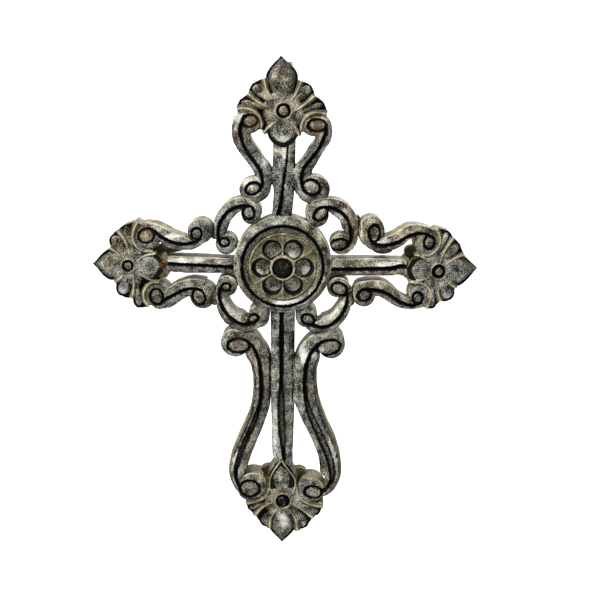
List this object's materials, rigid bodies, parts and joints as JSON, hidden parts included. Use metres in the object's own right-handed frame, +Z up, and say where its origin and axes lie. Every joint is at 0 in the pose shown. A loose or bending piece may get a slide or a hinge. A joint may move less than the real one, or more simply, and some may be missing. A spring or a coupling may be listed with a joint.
{
  "type": "carved wall cross",
  "caption": "Openwork wall cross carved from a flat board: rosette, grooved scroll bars and leaf fans at the ends of its arms, with a hanging strip let into the back.",
  "frame": {"origin": "on the flat back of the board, behind the centre of the rosette", "axes": "+Z up the cross to its top leaf, +X to the viewer's right, the carved front faces -Y and the flat back faces +Y"},
  "size_m": [0.2328, 0.0199, 0.305],
  "materials": {
    "painted_wood": "painted black, silver-grey and cream, worn, half matt",
    "tin": "plain tin, dull"
  },
  "bodies": {
    "root": {"cross": "painted_wood", "hanger_strip": "tin"}
  },
  "joints": []
}
